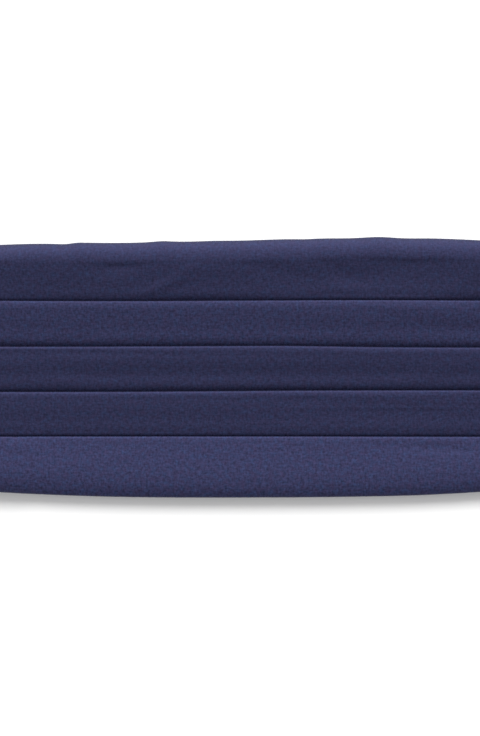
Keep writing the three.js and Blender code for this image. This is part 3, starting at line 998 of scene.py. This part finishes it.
def finish_material(tree, inputs):
    """Sends a surface with these inputs to the material's output."""
    surface = add_node(tree, "BsdfPrincipled", inputs)
    add_node(tree, "OutputMaterial", {"Surface": surface.outputs[0]})


def plain_woven_cotton(name, warp, weft, mottle_mm):
    """Fine plain-woven cotton: matte, with a grain of threads that are never quite even in colour, and with
    painted light and shade that each point of the piece carries.
    """
    material, tree = new_material(name)
    place = add_node(tree, "UVMap", {}, uv_map="cloth").outputs[0]
    # Threads of 0.25 mm are too fine to show, so the grain is drawn about twice as coarse.
    grain_mm, along, across = 1.1, 0.55, 1.25  # a noise's grain is about half its size, drawn out along
    grains = [
        add_node(tree, "Mapping", {"Vector": place, "Scale": scale}).outputs[0]
        for scale in ((along, across, 1.0), (across, along, 1.0))
    ]
    both = calculated(
        tree, "ADD", *(noise(tree, grain, grain_mm, 2.0, roughness=0.6) for grain in grains)
    )
    mottle = noise(tree, place, mottle_mm, 4.0, roughness=0.65)
    dyed = ranged(tree, mottle, (0.28, 0.72), (0.0, 1.0))
    dye = add_node(tree, "Mix", {0: dyed, 6: (*warp, 1.0), 7: (*weft, 1.0)}, data_type="RGBA")
    # Painted light and shade: each band of the front is made lighter or darker in colour, standing in for
    # how it faces the light.
    painted_shading = add_node(tree, "Attribute", {}, attribute_name="painted_shading").outputs["Fac"]
    mottle_and_painted_shading = calculated(tree, "MULTIPLY", ranged(tree, mottle, (0.3, 0.7), (0.8, 1.2)), painted_shading)
    light = calculated(tree, "MULTIPLY", ranged(tree, both, (0.6, 1.4), (0.22, 1.78)), mottle_and_painted_shading)
    finish_material(
        tree,
        {
            "Base Color": lightened(tree, dye.outputs[2], light),
            "Roughness": 0.65,
            "Specular IOR Level": 0.535,
            "Specular Tint": (*linear("#a9adff"), 1.0),
            "Normal": bumped(tree, both, 0.06),
        },
    )
    return material


def grosgrain_webbing(colour):
    """Grosgrain webbing, woven with thick weft: cross ribs that catch the light one by one."""
    material, tree = new_material("grosgrain_webbing")
    rib_mm, bands = 1.4, 3.1831  # bands in a unit of the wave texture at a scale of 1
    place = add_node(tree, "UVMap", {}, uv_map="cloth").outputs[0]
    ribs = {"Vector": place, "Scale": 1 / (rib_mm * MM) / bands, "Distortion": 0.4, "Detail": 2.0}
    wave = add_node(tree, "TexWave", ribs, bands_direction="X").outputs[1]
    height = calculated(tree, "ADD", wave, noise(tree, place, 0.8, 3.0))
    finish_material(
        tree,
        {
            "Base Color": lightened(tree, (*colour, 1.0), ranged(tree, height, (0.3, 1.6), (0.55, 1.35))),
            "Roughness": 0.7,
            "Specular IOR Level": 0.3,
            "Sheen Weight": 0.1,
            "Normal": bumped(tree, height, 0.12),
        },
    )
    return material


def polyester_thread(colour):
    """Twisted polyester thread: a little glossier than the cloth that it sews."""
    material, tree = new_material("polyester_thread")
    place = add_node(tree, "TexCoord", {}).outputs["Object"]
    fibre = noise(tree, place, 0.4, 2.0, dimensions="3D")
    shade = lightened(tree, (*colour, 1.0), ranged(tree, fibre, (0.0, 1.0), (0.7, 1.3)))
    finish_material(tree, {"Base Color": shade, "Roughness": 0.5})
    return material


def nickel_plated_steel(colour):
    """Stamped steel, nickel plated and left satin: soft streaked reflections."""
    material, tree = new_material("nickel_plated_steel")
    place = add_node(tree, "TexCoord", {}).outputs["Object"]
    streak = add_node(tree, "Mapping", {"Vector": place, "Scale": (1.0, 0.05, 1.0)}).outputs[0]
    brush = noise(tree, streak, 0.3, 3.0, dimensions="3D")
    worn = noise(tree, place, 6, 4.0, dimensions="3D")
    finish_material(
        tree,
        {
            "Base Color": lightened(tree, (*colour, 1.0), ranged(tree, brush, (0.0, 1.0), (0.85, 1.1))),
            "Metallic": 1.0,
            "Roughness": ranged(tree, worn, (0.0, 1.0), (0.22, 0.42)),
            "Normal": bumped(tree, brush, 0.01, strength=0.6),
        },
    )
    return material


class CUMMERBUND_OT_straps(bpy.types.Operator):
    """Makes the two woven straps, each from its tab under the front to the clasp"""

    bl_idname = "cummerbund.straps"
    bl_label = "Straps"

    def execute(self, context):
        cloth, strap = context.scene.cummerbund_cloth, context.scene.cummerbund_strap
        material = grosgrain_webbing(context.scene.cummerbund_finishes.webbing)
        for end, side in (("left", -1), ("right", 1)):
            piece, span = webbing(f"webbing_{end}", side, cloth, strap, material)
            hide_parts(f"strap_{end}")
            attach(piece, BODY)
        return {"FINISHED"}


class CUMMERBUND_OT_tabs(bpy.types.Operator):
    """Makes the two folded tabs that close the front's ends and narrow to the straps"""

    bl_idname = "cummerbund.tabs"
    bl_label = "Tabs"

    def execute(self, context):
        cloth, strap = context.scene.cummerbund_cloth, context.scene.cummerbund_strap
        finishes = context.scene.cummerbund_finishes
        material = plain_woven_cotton("plain_woven_cotton_tabs", finishes.warp, finishes.weft, 3.4)
        reach = cloth.tab_overlap + cloth.tab_reach
        near_edge = cloth.lip * np.array([0, 0.04, 0.15, 0.4])
        between = np.linspace(cloth.lip, reach - cloth.lip, 54)
        at = np.concatenate([near_edge, between, reach - near_edge[::-1]])
        for end, side in (("left", -1), ("right", 1)):
            space = tab_space(side, at, cloth, strap)
            bare = np.zeros((len(at), len(tab_facing())))
            inner = tab_ring(space, bare)
            outer = tab_ring(space, tab_wall(at, inner[0], reach, cloth))
            skins = [
                np.stack([np.broadcast_to(side * space["x"][:, None], y.shape), y, z], 2)[::side]
                for y, z in (outer, inner)
            ]
            piece = sleeve(f"tab_{end}", *skins, material)
            # The tabs have no painted shading.
            set_painted_shading(piece, 1.0)
            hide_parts(f"end_tab_{end}")
            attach(piece, BODY)
        return {"FINISHED"}


class CUMMERBUND_OT_stitching(bpy.types.Operator):
    """Sews each tab's hem, and the box that holds its strap"""

    bl_idname = "cummerbund.stitching"
    bl_label = "Stitching"

    def execute(self, context):
        scene = context.scene
        cloth, strap, sizes = scene.cummerbund_cloth, scene.cummerbund_strap, scene.cummerbund_stitches
        material = polyester_thread(scene.cummerbund_finishes.thread)
        along, across, up = stitch_shape(sizes)
        for end, side in (("left", -1), ("right", 1)):
            tab = bpy.data.objects[f"tab_{end}"].data
            surface = BVHTree.FromPolygons(
                [vertex.co for vertex in tab.vertices], [face.vertices for face in tab.polygons]
            )
            stitches = []
            for row_start, row_end, on_top in tab_stitch_rows(side, cloth, strap, sizes):
                away = 1 if on_top else -1
                for place, direction in stitch_row(row_start, row_end, sizes.spacing):
                    above = Vector((*place, away * cloth.tab_reach))
                    hit, normal, _, _ = surface.ray_cast(above, Vector((0, 0, -away)))
                    if hit is None:
                        raise RuntimeError(f"tab_{end}: no cloth under a stitch")
                    normal = normal if normal.z * away > 0 else -normal
                    forward = Vector((*direction, 0.0))
                    forward = (forward - normal * forward.dot(normal)).normalized()
                    axes = np.array([forward, normal.cross(forward), normal])
                    points = np.stack([along, across, up], 2) @ axes + np.array(hit)
                    stitches.append(points)
            piece = stitch_mesh(f"stitching_{end}", stitches, along, across, material)
            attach(piece, BODY)
        return {"FINISHED"}


class CUMMERBUND_OT_panel(bpy.types.Operator):
    """Makes the pleated front: one folded cloth in five bands, rolled over at its top and bottom edges"""

    bl_idname = "cummerbund.panel"
    bl_label = "Pleated front"

    def execute(self, context):
        cloth, strap = context.scene.cummerbund_cloth, context.scene.cummerbund_strap
        finishes = context.scene.cummerbund_finishes
        # The middle shows most and has the finest bumps, so it has the closest sections.
        middle = 0.62  # share of the half length
        far, near = np.linspace(1.0, middle, 26)[:-1], np.linspace(-middle, middle, 131)
        along = np.concatenate([-far, near, far[::-1]])
        y, z = panel_paths(along, cloth, strap)
        x = np.broadcast_to(along[:, None] * cloth.panel_length / 2, y.shape)
        skins = [np.stack([x, *offset(y, z, side * cloth.cloth / 2)], 2) for side in (-1, 1)]
        material = plain_woven_cotton("plain_woven_cotton", finishes.warp, finishes.weft, 2.6)
        piece = sleeve("pleated_front", *skins, material)
        # Paints light and shade into each band's colour.
        set_painted_shading(piece, np.tile(band_painted_shading(along, y, cloth, strap).ravel(), 2))
        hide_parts("pleated_panel")
        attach(piece, BODY)
        return {"FINISHED"}


class CUMMERBUND_OT_clasp(bpy.types.Operator):
    """Finishes the clasp that joins the straps"""

    bl_idname = "cummerbund.clasp"
    bl_label = "Clasp"

    def execute(self, context):
        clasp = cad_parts["clasp"]
        metal = nickel_plated_steel(context.scene.cummerbund_finishes.metal)
        for slot in clasp.material_slots:
            slot.material = metal
        return {"FINISHED"}


class CUMMERBUND_OT_stage(bpy.types.Operator):
    """Makes the white board, the soft key light, the pale room and the camera straight above"""

    bl_idname = "cummerbund.stage"
    bl_label = "Stage"

    def execute(self, context):
        studio, scene = context.scene.cummerbund_studio, context.scene
        scene.view_settings.view_transform = "Standard"
        reach, below = 20.0, -0.1 * MM  # the board fills the view, and lies just clear of the straps
        corners = [(x * reach, y * reach, below) for x, y in ((-1, -1), (1, -1), (1, 1), (-1, 1))]
        mesh = bpy.data.meshes.new("white_board")
        mesh.from_pydata(corners, [], [(0, 1, 2, 3)])
        board_material, tree = new_material("painted_board")
        paint = {"Base Color": (*studio.floor, 1.0), "Roughness": 0.9, "Specular IOR Level": 0.1}
        finish_material(tree, paint)
        mesh.materials.append(board_material)
        floor = bpy.data.objects.new("white_board", mesh)
        scene.collection.objects.link(floor)

        sun = bpy.data.lights.new("key", "SUN")
        sun.energy = studio.key_strength
        sun.angle = studio.key_softness
        key = bpy.data.objects.new("key", sun)
        towards = Vector((0, math.cos(studio.key_height), math.sin(studio.key_height)))
        key.rotation_euler = towards.to_track_quat("Z", "Y").to_euler()
        scene.collection.objects.link(key)

        room = bpy.data.worlds.new("pale_room")
        room.use_nodes = True
        room.node_tree.nodes["Background"].inputs["Color"].default_value = (1.0, 1.0, 1.0, 1.0)
        room.node_tree.nodes["Background"].inputs["Strength"].default_value = studio.fill_strength
        scene.world = room

        camera = bpy.data.cameras.new("camera")
        camera.lens = studio.lens
        eye = bpy.data.objects.new("camera", camera)
        cloth = scene.cummerbund_cloth
        level = panel_top(0.0, cloth, scene.cummerbund_strap) - cloth.cloth
        distance = studio.view_height * camera.lens / camera.sensor_width
        eye.location = (0.0, studio.view_rise, level + distance)
        scene.collection.objects.link(eye)
        scene.camera = eye
        return {"FINISHED"}


class CUMMERBUND_PT_sidebar(bpy.types.Panel):
    """Sizes, finishes and pieces of the cummerbund"""

    bl_label = "Pleated cummerbund"
    bl_category = "Cummerbund"
    bl_space_type = "VIEW_3D"
    bl_region_type = "UI"

    def draw(self, context):
        for key in SETTINGS:
            box = self.layout.box()
            group = getattr(context.scene, key)
            for name in group.__annotations__:
                box.prop(group, name)
        for operator in OPERATORS:
            self.layout.operator(operator.bl_idname)


SETTINGS = {
    "cummerbund_cloth": ClothSizes,
    "cummerbund_strap": StrapSizes,
    "cummerbund_stitches": StitchSizes,
    "cummerbund_finishes": Finishes,
    "cummerbund_studio": StudioSettings,
}
OPERATORS = [
    CUMMERBUND_OT_stage,
    CUMMERBUND_OT_clasp,
    CUMMERBUND_OT_straps,
    CUMMERBUND_OT_tabs,
    CUMMERBUND_OT_stitching,
    CUMMERBUND_OT_panel,
]
CLASSES = [*SETTINGS.values(), *OPERATORS, CUMMERBUND_PT_sidebar]


def register():
    for cls in CLASSES:
        bpy.utils.register_class(cls)
    for key, group in SETTINGS.items():
        setattr(bpy.types.Scene, key, bpy.props.PointerProperty(type=group))


def unregister():
    for key in SETTINGS:
        delattr(bpy.types.Scene, key)
    for cls in reversed(CLASSES):
        bpy.utils.unregister_class(cls)


def main():
    register()
    bpy.ops.cummerbund.stage()
    bpy.ops.cummerbund.clasp()
    bpy.ops.cummerbund.straps()
    bpy.ops.cummerbund.tabs()
    bpy.ops.cummerbund.stitching()
    bpy.ops.cummerbund.panel()


if __name__ == "__main__":
    main()
